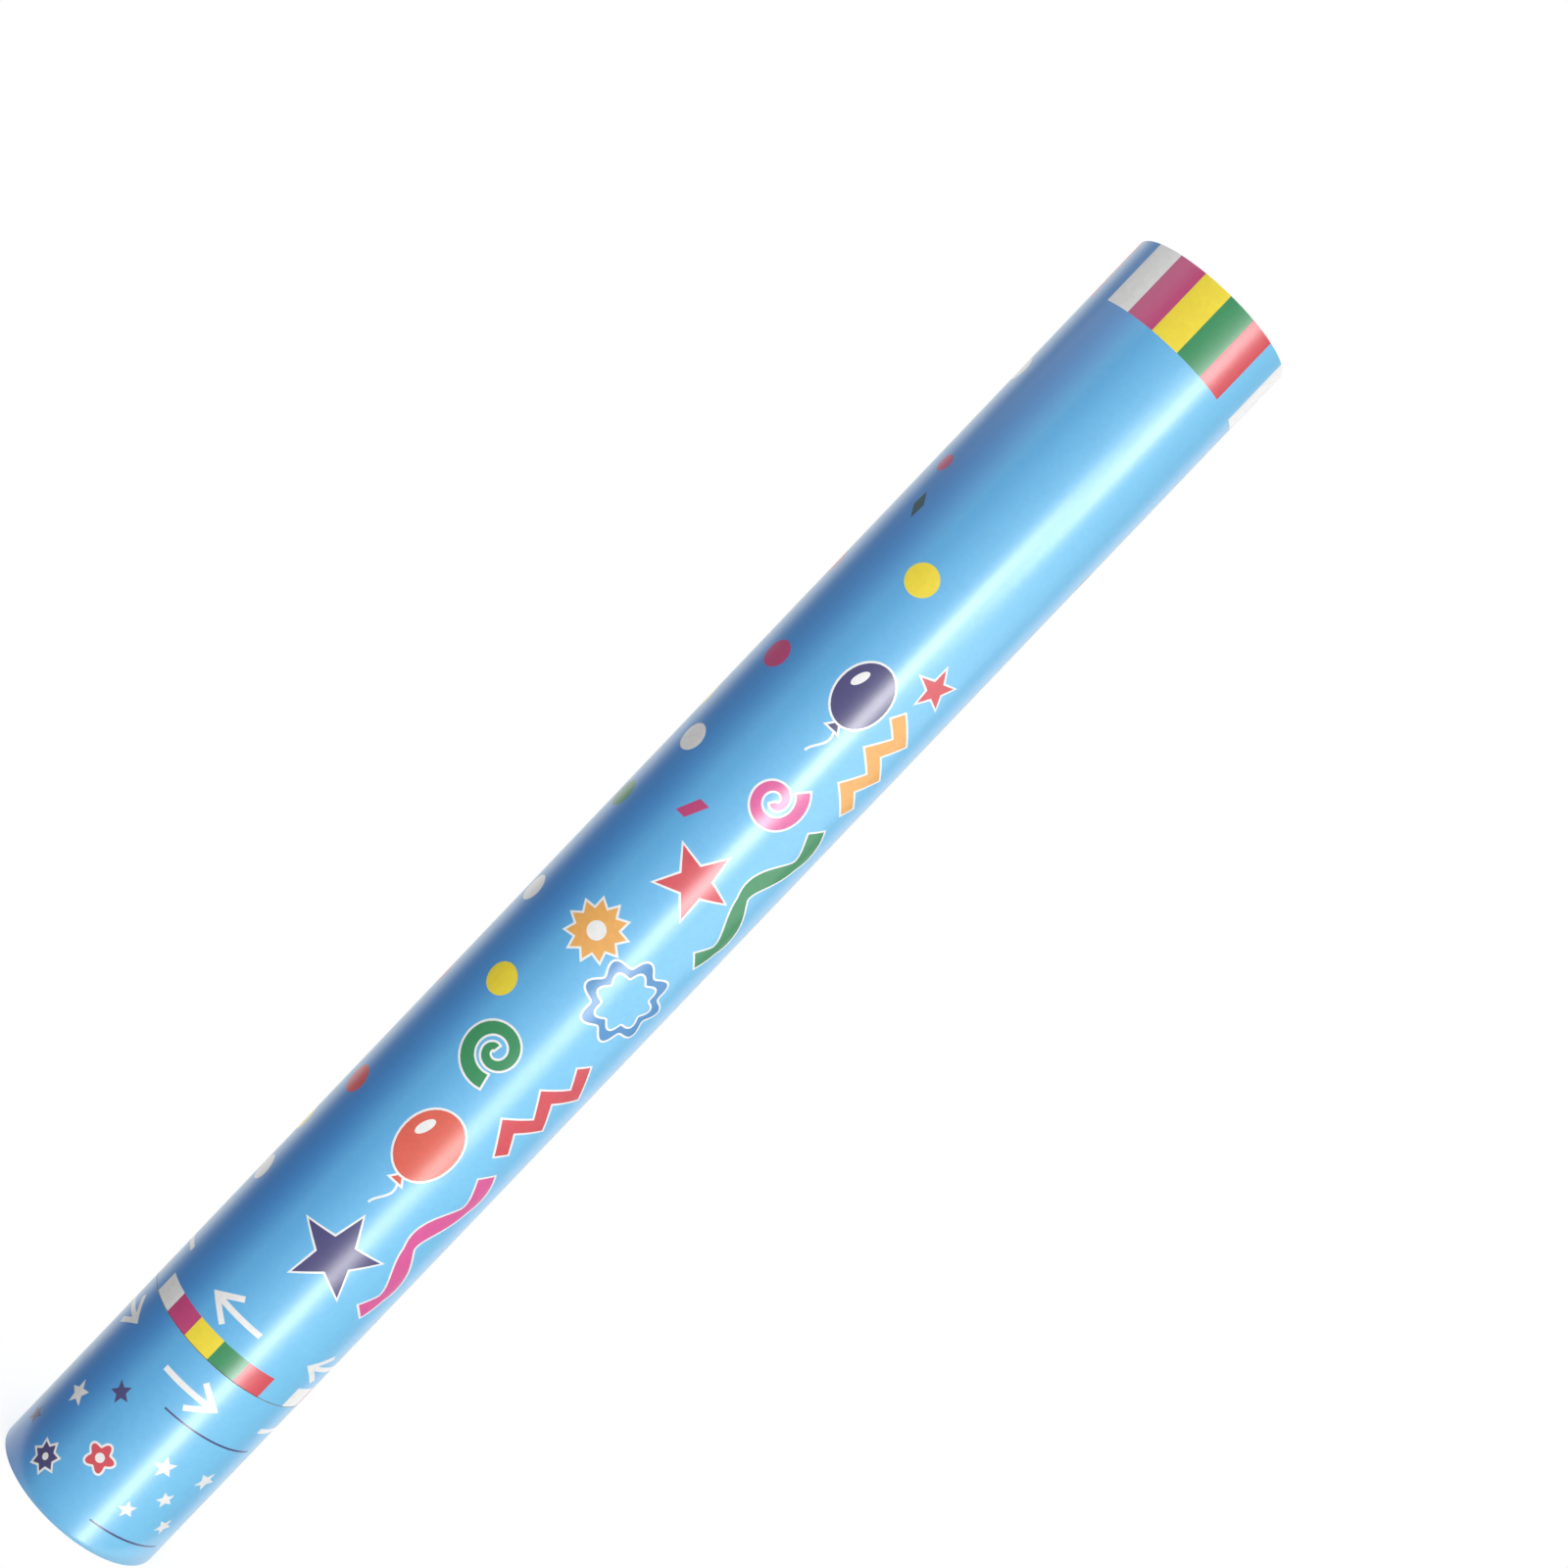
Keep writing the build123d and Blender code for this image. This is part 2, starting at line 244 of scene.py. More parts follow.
class Nodes:
    """A node tree in the making."""

    def __init__(self, tree):
        self.tree = tree

    def feed(self, socket, value):
        """Links a socket, or sets a constant on it."""
        if isinstance(value, bpy.types.NodeSocket):
            self.tree.links.new(value, socket)
        else:
            socket.default_value = value

    def add(self, kind, inputs=None, **settings):
        """Outputs of a new node."""
        node = self.tree.nodes.new(kind)
        for setting, value in settings.items():
            setattr(node, setting, value)
        for socket, value in (inputs or {}).items():
            self.feed(node.inputs[socket], value)
        return node.outputs

    def combine(self, operation, first, second):
        return self.add("ShaderNodeMath", {0: first, 1: second}, operation=operation)[0]

    def ramp(self, value, low, high, from_low=0.3, from_high=0.7, **settings):
        """Value carried from one range to another and held at its ends.

        The range that it comes from is most of a noise's, unless another is given.
        """
        return self.add("ShaderNodeMapRange", {
            "Value": value, "From Min": from_low, "From Max": from_high,
            "To Min": low, "To Max": high,
        }, **settings)[0]


class Finish(Nodes):
    """A material in the making, with its main shader."""

    def __init__(self, name, **sockets):
        self.material = bpy.data.materials.new(name)
        self.material.use_nodes = True
        super().__init__(self.material.node_tree)
        self.shader = self.tree.nodes["Principled BSDF"]
        for socket, value in sockets.items():
            self.shader.inputs[socket.replace("_", " ")].default_value = value
        self.place = self.add("ShaderNodeTexCoord")["Object"]

    def noise(self, scale, detail=3.0, stretch=None):
        """Noise of so many waves to the metre, times a factor along each axis on request."""
        place = self.place
        if stretch:
            place = self.add("ShaderNodeMapping", {"Vector": place, "Scale": stretch})[0]
        inputs = {"Vector": place, "Scale": scale, "Detail": detail}
        return self.add("ShaderNodeTexNoise", inputs)["Fac"]

    def blend(self, share, first, second):
        return self.add("ShaderNodeMix", {0: share, 6: first, 7: second}, data_type="RGBA")[2]

    def shades(self, noise, code, dark, light):
        """A colour that goes from a dark to a light share of itself with a noise."""
        return self.blend(self.ramp(noise, 0.0, 1.0), tint(code, dark), tint(code, light))

    def colour(self, value):
        self.feed(self.shader.inputs["Base Color"], value)

    def roughness(self, value):
        self.feed(self.shader.inputs["Roughness"], value)

    def bump(self, height, depth):
        """Relief of the given depth in millimetres."""
        relief = self.add("ShaderNodeBump", {"Height": height, "Distance": depth * MM})[0]
        self.feed(self.shader.inputs["Normal"], relief)


def film_gloss(finish):
    """Clear film over the print, which waves a little on the board."""
    finish.roughness(finish.ramp(finish.noise(300.0), low=0.36, high=0.46))
    finish.bump(finish.noise(95.0, detail=2.0, stretch=(1.0, 1.0, 0.35)), depth=0.05)


def ink_finish(name, colour):
    """Faintly mottled ink under the film."""
    finish = Finish("ink_" + name, **film_sockets)
    finish.colour(finish.shades(finish.noise(700.0, detail=4.0), colour, dark=0.95, light=1.04))
    film_gloss(finish)
    return finish.material


def sky_and_painted_light_finish():
    """Blue ground with painted light and shade: it clears from painted shade and pales with painted
    light twice round the tube, along each panel of motifs.
    """
    finish = Finish("ink_sky_painted_shade_and_light", **film_sockets)
    turn = math.radians(painted_light_angle)
    painted_light_way = (math.sin(turn), -math.cos(turn), 0.0)
    # How squarely the surface faces the key lamps' line: painted light where it does, painted shade
    # where it turns away
    facing = finish.add("ShaderNodeVectorMath", {0: finish.place, 1: painted_light_way},
                        operation="DOT_PRODUCT")
    squared = finish.combine("MULTIPLY", facing["Value"], facing["Value"])
    whole = (wrap_radius * MM) ** 2
    painted_shade_clearing = finish.ramp(squared, 0.0, 1.0, 0.0, clear_share * whole)
    painted_light_amount = finish.ramp(squared, 0.0, 1.0, painted_light_start * whole, whole)
    # Painted shade, then the clear ink colour, then painted light
    ground = finish.blend(painted_shade_clearing, tint(sky_painted_shade), tint(sky_clear))
    ground = finish.blend(painted_light_amount, ground, tint(sky_painted_light))
    cloud = finish.ramp(finish.noise(14.0, detail=2.0), low=0.0, high=0.12)
    clouded = finish.blend(cloud, ground, tint(sky_painted_light, 1.08))
    mottle = finish.ramp(finish.noise(700.0, detail=4.0), low=0.0, high=0.1)
    finish.colour(finish.blend(mottle, clouded, tint(sky_painted_shade, 0.85)))
    film_gloss(finish)
    return finish.material


def board_finish(name, colour):
    """Wound board: matted fibres, and plies that show as rings on the cut ends."""
    finish = Finish(name, Roughness=0.85, Sheen_Weight=0.15)
    inputs = {"Vector": finish.place, "Scale": 960.0, "Distortion": 1.2}
    plies = finish.add("ShaderNodeTexWave", inputs, wave_type="RINGS", rings_direction="Z")["Fac"]
    fibre = finish.noise(1500.0, detail=5.0, stretch=(1.0, 1.0, 0.25))
    tone = finish.shades(fibre, colour, dark=0.82, light=1.1)
    lines = finish.ramp(plies, 0.0, 0.3, 0.0, 1.0)
    finish.colour(finish.blend(lines, tone, tint(colour, 0.6)))
    finish.bump(fibre, depth=0.06)
    return finish.material


def plastic_finish(name, colour, gloss):
    """Moulded plastic with a fine spark-eroded grain and faint flow marks."""
    finish = Finish(name, Specular_IOR_Level=0.5)
    flow = finish.noise(45.0, detail=2.0, stretch=(1.0, 1.0, 0.3))
    finish.colour(finish.shades(flow, colour, dark=0.93, light=1.05))
    finish.roughness(finish.ramp(finish.noise(400.0), gloss - 0.06, gloss + 0.08))
    finish.bump(finish.noise(2200.0, detail=2.0), depth=0.02)
    return finish.material


def metal_finish(name, colour, gloss, grain=(1.0, 1.0, 30.0)):
    """Drawn or turned metal with fine lines round its axis."""
    finish = Finish(name, Metallic=1.0)
    lines = finish.noise(140.0, detail=4.0, stretch=grain)
    finish.colour(finish.shades(lines, colour, dark=0.86, light=1.06))
    finish.roughness(finish.ramp(lines, gloss - 0.08, gloss + 0.1))
    finish.bump(lines, depth=0.012)
    return finish.material


def rubber_finish(name, colour):
    """Matt rubber with a faint bloom."""
    finish = Finish(name)
    finish.colour(finish.shades(finish.noise(600.0, detail=4.0), colour, dark=0.8, light=1.5))
    finish.roughness(finish.ramp(finish.noise(900.0), low=0.6, high=0.8))
    finish.bump(finish.noise(2500.0, detail=2.0), depth=0.015)
    return finish.material


def fibre_finish(name, colour, scale, depth, sheen, through=0.0):
    """Card or tissue: matted fibres, uneven tone and, on request, some light from behind."""
    finish = Finish(name, Roughness=0.9, Sheen_Weight=sheen, Sheen_Roughness=0.4,
                    Subsurface_Weight=through, Subsurface_Scale=0.001,
                    Subsurface_Radius=(1.0, 1.0, 1.0))
    fibre = finish.noise(scale, detail=6.0)
    patch = finish.noise(scale * patch_share, detail=2.0)
    tone = finish.shades(fibre, colour, dark=0.86, light=1.08)
    finish.colour(finish.blend(finish.ramp(patch, low=0.0, high=0.22), tone, tint(colour, 0.7)))
    finish.bump(fibre, depth)
    return finish.material


def felt_finish(name, colour):
    """Heathered felt: light and dark fibres that lie both ways over a mottled ground."""
    finish = Finish(name, Roughness=0.95, Sheen_Weight=0.4, Sheen_Roughness=0.5)
    ground = finish.shades(finish.noise(420.0, detail=4.0), colour, dark=0.7, light=1.2)
    dark = finish.noise(700.0, stretch=(1.0, 5.0, 2.0))
    light = finish.noise(700.0, stretch=(5.0, 1.0, 2.0))
    shaded = finish.blend(finish.ramp(dark, 0.0, 0.6, 0.52, 0.66), ground, tint(colour, 0.35))
    finish.colour(finish.blend(finish.ramp(light, 0.0, 0.6, 0.54, 0.66), shaded, tint(colour, 2.0)))
    finish.bump(finish.noise(900.0, detail=5.0), depth=0.4)
    return finish.material


inks = {"sky": sky_and_painted_light_finish()}
for ink_name, ink_code in ink_colours.items():
    inks[ink_name] = ink_finish(ink_name, ink_code)
ink_order = list(inks)

grey_board = "c6b69c"
black_rubber = "26262a"
brass = "d6b25e"
node_finishes = {
    "barrel_tube": board_finish("board_barrel", grey_board),
    "grip_tube": board_finish("board_grip", grey_board),
    "coupler_tube": board_finish("board_coupler", "d2cbbd"),
    "muzzle_lid": fibre_finish("lid_card", "e9e5da", scale=900.0, depth=0.05, sheen=0.1),
    "base_cap": plastic_finish("cap_plastic", "3f7fc4", gloss=0.4),
    "air_tank": metal_finish("tank_aluminium", "d6d8dc", gloss=0.3),
    "tank_head": plastic_finish("head_plastic", "e9e9e4", gloss=0.38),
    "head_seal": rubber_finish("head_seal_rubber", black_rubber),
    "plug_seal": rubber_finish("plug_seal_rubber", black_rubber),
    "fill_valve_gasket": rubber_finish("gasket_rubber", black_rubber),
    "cam_sleeve": plastic_finish("cam_plastic", "f0c23c", gloss=0.4),
    "key_ring": plastic_finish("key_plastic", "d8453f", gloss=0.4),
    "release_plug": plastic_finish("plug_plastic", "f2f2ee", gloss=0.36),
    "cross_pin": metal_finish("pin_steel", "b8bcc2", gloss=0.26, grain=(30.0, 1.0, 1.0)),
    "fill_valve_body": metal_finish("valve_brass", brass, gloss=0.28),
    "fill_valve_nut": metal_finish("nut_brass", brass, gloss=0.3),
    "fill_valve_poppet": rubber_finish("poppet_rubber", "3a2a26"),
    "fill_valve_retainer": plastic_finish("retainer_plastic", "e4e4de", gloss=0.4),
}


def dress_nodes():
    """Gives each solid that is carried over its finish."""
    for node, finish in node_finishes.items():
        for slot in nodes[node].material_slots:
            slot.material = finish


# Meshes

def new_piece(name, points, faces, materials, body, slot, *replaced):
    """A mesh piece in the shared frame, from points in millimetres."""
    mesh = bpy.data.meshes.new(name)
    mesh.from_pydata((np.asarray(points) * MM).tolist(), [], faces)
    for material in materials:
        mesh.materials.append(material)
    piece = bpy.data.objects.new(name, mesh)
    bpy.context.scene.collection.objects.link(piece)
    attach(piece, body)
    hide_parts(*replaced)
    return piece


def smooth(piece):
    polygons = piece.data.polygons
    polygons.foreach_set("use_smooth", [True] * len(polygons))


def on_tube(angles, heights, radii):
    """Points at angles in radians from the front, heights and radii."""
    return np.stack([radii * np.sin(angles), -radii * np.cos(angles), heights], 1)


def round_turns(corners):
    """Angles, in radians, of evenly spaced corners."""
    return np.arange(corners) * math.tau / corners


# Outlines on the unrolled wrap

def arc(angle):
    """Arc length, in millimetres, of an angle in degrees."""
    return wrap_radius * math.radians(angle)


def placed(outline, angle, height, turn=0.0):
    """An outline turned anticlockwise and moved to its place on the wrap."""
    cosine = math.cos(math.radians(turn))
    sine = math.sin(math.radians(turn))
    turned = np.asarray(outline, float) @ np.array([[cosine, sine], [-sine, cosine]])
    return turned + (arc(angle), height)


def polar(reach, turns):
    """Flat points at distances from a middle and angles in radians."""
    return np.stack([reach * np.cos(turns), reach * np.sin(turns)], 1)


def oval(half_width, half_height, corners=36):
    turns = round_turns(corners)
    return np.stack([half_width * np.cos(turns), half_height * np.sin(turns)], 1)


def circle(radius, corners):
    return oval(radius, radius, corners)


def star(tips, outer, inner):
    turns = np.arange(2 * tips) * math.pi / tips + math.pi / 2
    return polar(np.where(np.arange(2 * tips) % 2 == 0, outer, inner), turns)


def five_star(outer, waist):
    """Five-pointed star whose inner corners are a share of its tips."""
    return star(5, outer, outer * waist)


def blossom(petals, radius, swell, corners=96):
    """Round outline that swells into petals."""
    turns = round_turns(corners)
    return polar(radius - swell + swell * np.cos(petals * turns), turns)


def stroke(line, widths):
    """Outline of a band along a line, mitred at its corners."""
    line = np.asarray(line, float)
    runs = np.diff(line, axis=0)
    runs /= np.linalg.norm(runs, axis=1)[:, None]
    before = np.vstack([runs[:1], runs])
    after = np.vstack([runs, runs[-1:]])
    normals = np.stack([-(before + after)[:, 1], (before + after)[:, 0]], 1)
    normals /= (1 + (before * after).sum(1))[:, None]
    half = normals * np.broadcast_to(widths, len(line))[:, None] / 2
    return np.vstack([line + half, (line - half)[::-1]])


def streamer(length, width, wave, waves, points=44):
    """Wavy paper streamer along the height, narrower where it turns edge-on."""
    t = np.linspace(0, 1, points)
    swing = math.tau * waves * t
    line = np.stack([wave * np.sin(swing), length * (t - 0.5)], 1)
    facing = np.abs(np.cos(swing + streamer_lag))
    return stroke(line, width * (streamer_narrow + streamer_swell * facing))


def zigzag(length, width, wave, folds):
    t = np.linspace(0, 1, folds + 1)
    line = np.stack([wave * (-1.0) ** np.arange(folds + 1), length * (t - 0.5)], 1)
    return stroke(line, width)


def curl(radius, width, turns, points=64):
    """Curled ribbon: a spiral whose band thins towards its middle."""
    t = np.linspace(curl_start, 1, points)
    line = polar((radius - width / 2) * t, math.tau * turns * t)
    return stroke(line, width * (curl_narrow + curl_swell * t))


def anticlockwise(outline):
    following = np.roll(outline, -1, 0)
    area = (outline[:, 0] * following[:, 1] - outline[:, 1] * following[:, 0]).sum()
    return outline if area > 0 else outline[::-1]


def grown(outline, by):
    """An anticlockwise outline moved outwards, with its sharp tips cut short."""
    ahead = np.roll(outline, -1, 0) - outline
    ahead /= np.linalg.norm(ahead, axis=1)[:, None]
    out = np.stack([ahead[:, 1], -ahead[:, 0]], 1)
    before = np.roll(out, 1, 0)
    step = (out + before) / (1 + (out * before).sum(1))[:, None]
    reach = np.linalg.norm(step, axis=1)
    return outline + by * step * np.minimum(1, tip_limit / reach)[:, None]


class Print:
    """Shapes of one wrap in printing order, each an ink and an outline."""

    def __init__(self, seam):
        self.seam = seam
        self.shapes = []

    def lay(self, ink, outline, angle=0.0, height=0.0, turn=0.0, outlined=False):
        """Adds a shape at an angle that is brought into the film's own turn, up to the lap."""
        angle = (angle - self.seam) % 360 + self.seam - 360
        outline = anticlockwise(placed(outline, angle, height, turn))
        if outlined:
            self.shapes.append(("white", grown(outline, outline_width)))
        self.shapes.append((ink, outline))

    def block(self, ink, start, end, low, high):
        """A block between two angles, cut at the lap."""
        for turn in (-360, 0, 360):
            left = max(start + turn, self.seam - 360)
            right = min(end + turn, self.seam)
            if right > left:
                lower = [(arc(left), low), (arc(right), low)]
                upper = [(arc(right), high), (arc(left), high)]
                self.shapes.append((ink, np.array(lower + upper)))

    def band(self, start, low, high):
        for group in range(block_groups):
            for number, ink in enumerate(block_inks):
                left = start + group * 360 / block_groups + number * block_angle
                self.block(ink, left, left + block_angle, low, high)

    def arrows(self, tail, tip, height):
        """White turn arrows with open heads, all round the tube."""
        length = arc(tip - tail)
        barb = length - math.copysign(arrow_barb_run, tip - tail)
        shaft = stroke([(0, 0), (length, 0)], arrow_stroke)
        barbs = [(barb, arrow_barb_rise), (length, 0), (barb, -arrow_barb_rise)]
        head = stroke(barbs, arrow_stroke)
        for turn in arrow_turns:
            self.lay("white", shaft, tail + turn, height)
            self.lay("white", head, tail + turn, height)

    def balloon(self, ink, angle, height, half_width, half_height):
        """Balloon with its knot and a shine, on a short string."""
        foot = height - half_height
        t = np.linspace(0, 1, string_points)
        string = np.stack([string_sway * np.sin(string_wave * t), -string_length * t], 1)
        self.lay("white", stroke(string, string_width), angle, foot - string_drop)
        self.lay(ink, knot_outline, angle, foot - knot_drop, outlined=True)
        self.lay(ink, oval(half_width, half_height), angle, height, outlined=True)
        shine = oval(half_width * shine_size[0], half_height * shine_size[1], shine_corners)
        beside = math.degrees(half_width * shine_place[0] / wrap_radius)
        self.lay("white", shine, angle + beside, height + half_height * shine_place[1], shine_turn)


def party_panel(sheet, side):
    """Stars, streamers, curls and balloons of one side of the barrel, from the foot up."""

    def motif(ink, outline, angle, height, turn=0):
        sheet.lay(ink, outline, side + angle, height, turn, outlined=True)

    # Each with its ink, outline, angle, height and turn; a balloon ends with its half sizes
    motif("navy", five_star(11.0, star_waist), 12, 92, 8)
    motif("pink", streamer(44, 4.8, 3.2, 1.5), 51, 106)
    sheet.balloon("scarlet", side + 7, 126, 7.6, 9.4)
    motif("red", zigzag(28, 3.6, 3.0, 5), 46, 149, -12)
    motif("green", curl(9.4, 3.6, 1.7), -3, 153, 40)
    motif("blue", blossom(8, 11.0, 1.3), 34, 182, 14)
    motif("sky", blossom(8, 7.6, 0.9), 34, 182, 14)
    motif("orange", star(11, 7.4, 5.2), -9, 190)
    sheet.lay("white", circle(2.4, 24), side - 9, 190)
    motif("green", streamer(42, 5.0, 3.4, 1.5), 51, 221)
    motif("red", five_star(9.4, star_waist), 13, 214, -12)
    motif("pink", curl(8.6, 3.3, 1.6), 14, 241, 200)
    motif("orange", zigzag(26, 3.6, 2.8, 5), 46, 263, 10)
    sheet.balloon("navy", side + 9, 273, 6.8, 8.6)
    motif("red", five_star(5.4, star_waist), 40, 286, 20)


def loose_dots(sheet, side):
    """Printed confetti between the motifs and round the sides."""
    dots = (                # ink, angle, height, radius
        ("yellow", -12.7, 302.2, 4.3), ("magenta", -62.0, 327.4, 2.5),
        ("magenta", -51.0, 266.6, 3.9), ("white", -54.5, 238.4, 3.9),
        ("green", -69.5, 217.0, 3.9), ("white", -68.6, 185.6, 3.8),
        ("yellow", -31.0, 166.0, 4.2), ("red", -62.1, 123.3, 3.9),
        ("white", -73.0, 91.3, 3.6), ("white", -80.0, 357.4, 3.4),
        ("magenta", -84.0, 293.0, 3.8), ("yellow", -88.0, 248.0, 4.0),
        ("green", -91.0, 331.0, 3.9), ("magenta", -86.0, 155.0, 3.9),
        ("yellow", -84.0, 106.0, 3.8),
    )
    for ink, angle, height, radius in dots:
        sheet.lay(ink, circle(radius, dot_corners), side + angle, height)
    slanted = ((-2.9, -2.9), (0.1, -2.9), (2.9, 2.9), (-0.1, 2.9))
    sheet.lay("magenta", slanted, side - 18.0, 226.3)
    diamond = ((0, -3.9), (1.7, 0), (0, 3.9), (-1.7, 0))
    sheet.lay("teal", diamond, side - 51.1, 315.4, turn=19)


def grip_marks(sheet, side):
    """Rules and small ornaments of one side of the grip."""
    rules = ((1.0, 71.5, 38.3), (14.4, 69.6, 6.5))      # start and end angles, height
    for start, end, height in rules:
        half = arc((end - start) / 2)
        rule = stroke([(-half, 0), (half, 0)], rule_width)
        sheet.lay("navy", rule, side + (start + end) / 2, height)
    stars = (               # ink, angle of place and turn, height, reach
        ("white", 26, 27, 3.0), ("white", 42, 20, 2.4), ("white", 57, 28, 3.0),
        ("white", 27, 13.5, 2.4), ("white", 58, 13, 2.6), ("navy", -24, 33, 3.0),
        ("white", -46, 24, 3.4), ("navy", -63, 11, 2.8),
    )
    for ink, angle, height, reach in stars:
        sheet.lay(ink, five_star(reach, small_star_waist), side + angle, height, angle)
    sheet.lay("red", blossom(5, 3.7, 0.7), side - 6, 19, turn=18, outlined=True)
    sheet.lay("white", circle(1.2, 20), side - 6, 19)
    sheet.lay("navy", star(7, 3.6, 2.3), side - 31, 9, outlined=True)
    sheet.lay("white", circle(0.9, 18), side - 31, 9)


def barrel_print():
    sheet = Print(barrel_seam)
    sheet.band(muzzle_band_start, muzzle_rim - muzzle_band_height, muzzle_rim)
    sheet.band(foot_band_start, barrel_foot - foot_overhang, barrel_foot + foot_band_height)
    sheet.arrows(*barrel_arrow)
    for side in (0, 180):
        loose_dots(sheet, side)
        party_panel(sheet, side)
    return sheet


def grip_print():
    sheet = Print(grip_seam)
    sheet.arrows(*grip_arrow)
    for side in (0, 180):
        grip_marks(sheet, side)
    return sheet


# Wraps: the print cut into a mesh, rolled up and closed to a thin shell

def triangulated(sheet, low, high, levels):
    """Points, triangles and inks of the flat wrap, cut along every printed outline."""
    left = arc(sheet.seam - 360)
    right = arc(sheet.seam)
    points = [(left, low), (right, low), (right, high), (left, high)]
    outlines = [[0, 1, 2, 3]]
    for _, outline in sheet.shapes:
        outlines.append(list(range(len(points), len(points) + len(outline))))
        points.extend(map(tuple, outline))
    columns = round(360 / column_step)
    lines = [((x, low), (x, high)) for x in np.linspace(left, right, columns + 1)[1:-1]]
    lines += [((left, z), (right, z)) for z in levels]
    edges = []
    for start, end in lines:
        edges.append((len(points), len(points) + 1))
        points += [start, end]
    corners = [Vector(p) for p in points]
    cut, _, faces, _, _, owners = delaunay_2d_cdt(
        corners, edges, outlines, inside_only, cut_tolerance)
    names = ["sky"] + [ink for ink, _ in sheet.shapes]
    found = [names[max(own)] if own else "sky" for own in owners]
    return np.array([tuple(p) for p in cut]), [list(f) for f in faces], found


def wrapped(flat, sheet, low, high):
    """The flat points on the tube, with the lap and the pressed edges."""
    angles = flat[:, 0] / wrap_radius
    climb = (np.degrees(angles) - (sheet.seam - lap_angle)) / lap_run
    edge = np.minimum(flat[:, 1] - low, high - flat[:, 1]) / edge_height
    pressed = edge_round * (1 - np.clip(edge, 0, 1)) ** 2
    return on_tube(angles, flat[:, 1], wrap_radius + lap_height * np.clip(climb, 0, 1) - pressed)


def ring_to_ring(lower, upper, lower_at, upper_at):
    """Triangles between two closed rings of points, each with its places round the tube."""
    faces = []
    i = 0
    j = 0
    while i < len(lower) or j < len(upper):
        next_lower = lower_at[i + 1] if i + 1 < len(lower) else math.inf
        next_upper = upper_at[j + 1] if j + 1 < len(upper) else math.inf
        below = lower[i % len(lower)]
        above = upper[j % len(upper)]
        if j == len(upper) or (i < len(lower) and next_lower <= next_upper):
            i += 1
            faces.append([lower[i % len(lower)], below, above])
        else:
            j += 1
            faces.append([above, upper[j % len(upper)], below])
    return faces


def on_border(flat, column, value):
    """Numbers of the flat points on one border, in order along it."""
    found = np.flatnonzero(np.abs(flat[:, column] - value) < border_tolerance)
    return list(found[np.argsort(flat[found, 1 - column])])


def close_shell(flat, points, faces, seam, low, high):
    """Adds the step of the lap, the cut ends and the plain back to the rolled print."""
    levels = (low, high)
    ends = [on_border(flat, 1, level) for level in levels]
    first, last = (on_border(flat, 0, arc(turn)) for turn in (seam - 360, seam))
    for a, b, c, d in zip(first, first[1:], last[1:], last):
        faces.append([a, b, c, d])
    rings = []
    for level, ring in zip(levels, ends):
        inner = list(range(len(points), len(points) + len(ring) - 1))
        angles = flat[ring[:-1], 0] / wrap_radius
        points = np.vstack([points, on_tube(angles, np.full(len(inner), level), tube_radius)])
        flat = np.vstack([flat, flat[ring[:-1]]])
        rings.append(inner)
        inside = inner + inner[:1]
        for a, b, c, d in zip(ring, ring[1:], inside[1:], inside):
            faces.append([b, a, d, c] if level == low else [a, b, c, d])
        corner = [ring[-1], ring[0], inner[0]]
        faces.append(corner[::-1] if level == low else corner)
    faces += ring_to_ring(*rings, *(list(flat[ring, 0]) for ring in rings))
    return flat, points, faces


def wrap_piece(name, node, body, sheet, overhang=0.0, levels=()):
    """Printed film of one tube; it may hang over its foot, and is also cut at the given levels."""
    low, high = (corner.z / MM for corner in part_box(node))
    low -= overhang
    rows = list(np.arange(low + row_step, high - row_step / 2, row_step))
    rows += [low + edge_height, high - edge_height, *levels]
    flat, faces, names = triangulated(sheet, low, high, rows)
    points = wrapped(flat, sheet, low, high)
    flat, points, faces = close_shell(flat, points, faces, sheet.seam, low, high)
    piece = new_piece(name, points, faces, inks.values(), body, "printed_film", node)
    finish_wrap(piece, flat, [ink_order.index(n) for n in names])


def finish_wrap(piece, flat, printed_inks):
    """Inks, true round normals on the printed side, and a map that unrolls the film."""
    mesh = piece.data
    spare = len(mesh.polygons) - len(printed_inks)
    numbers = printed_inks + [ink_order.index("film_edge")] * spare
    mesh.polygons.foreach_set("material_index", numbers)
    smooth(piece)
    spread = flat - flat.min(0)
    spread /= spread.max(0)
    layer = mesh.uv_layers.new(name="OFBake")
    normals = []
    for polygon in mesh.polygons:
        printed = polygon.index < len(printed_inks)
        start = map_margin if printed else map_back_start
        width = map_print_width if printed else map_back_width
        for loop in polygon.loop_indices:
            vertex = mesh.loops[loop].vertex_index
            x, y, _ = mesh.vertices[vertex].co
            normals.append(Vector((x, y, 0)).normalized() if printed else polygon.normal.copy())
            share, rise = spread[vertex]
            layer.uv[loop].vector = (start + width * share, map_margin + map_height * rise)
    mesh.normals_split_custom_set(normals)


# Confetti, wad and spring

def disc_plane(normal):
    """Two directions at right angles in a disc's plane."""
    x, y, z = normal
    side = np.array([y, -x, 0.0] if abs(z) < flat_limit else [0.0, z, -y])
    side /= np.linalg.norm(side)
    return np.array([side, np.cross(normal, side)])


def proposed_disc(draw, middles, normals, low, high):
    """A place for one more disc: anywhere, or beside a disc that lies already."""
    if len(middles) and draw.random() < packet_share:
        near = draw.integers(len(middles))
        shift = packet_slip * draw.normal(size=3)
        shift -= shift @ normals[near] * normals[near]
        lift = draw.choice((-1, 1)) * draw.uniform(*packet_gaps)
        middle = middles[near] + shift + lift * normals[near]
        normal = normals[near] + packet_tilt * draw.normal(size=3)
    else:
        reach = wad_radius * math.sqrt(draw.random())
        way = draw.uniform(0, math.tau)
        middle = np.array([reach * math.cos(way), reach * math.sin(way), draw.uniform(low, high)])
        normal = draw.normal(size=3)
    return middle, normal / np.linalg.norm(normal)


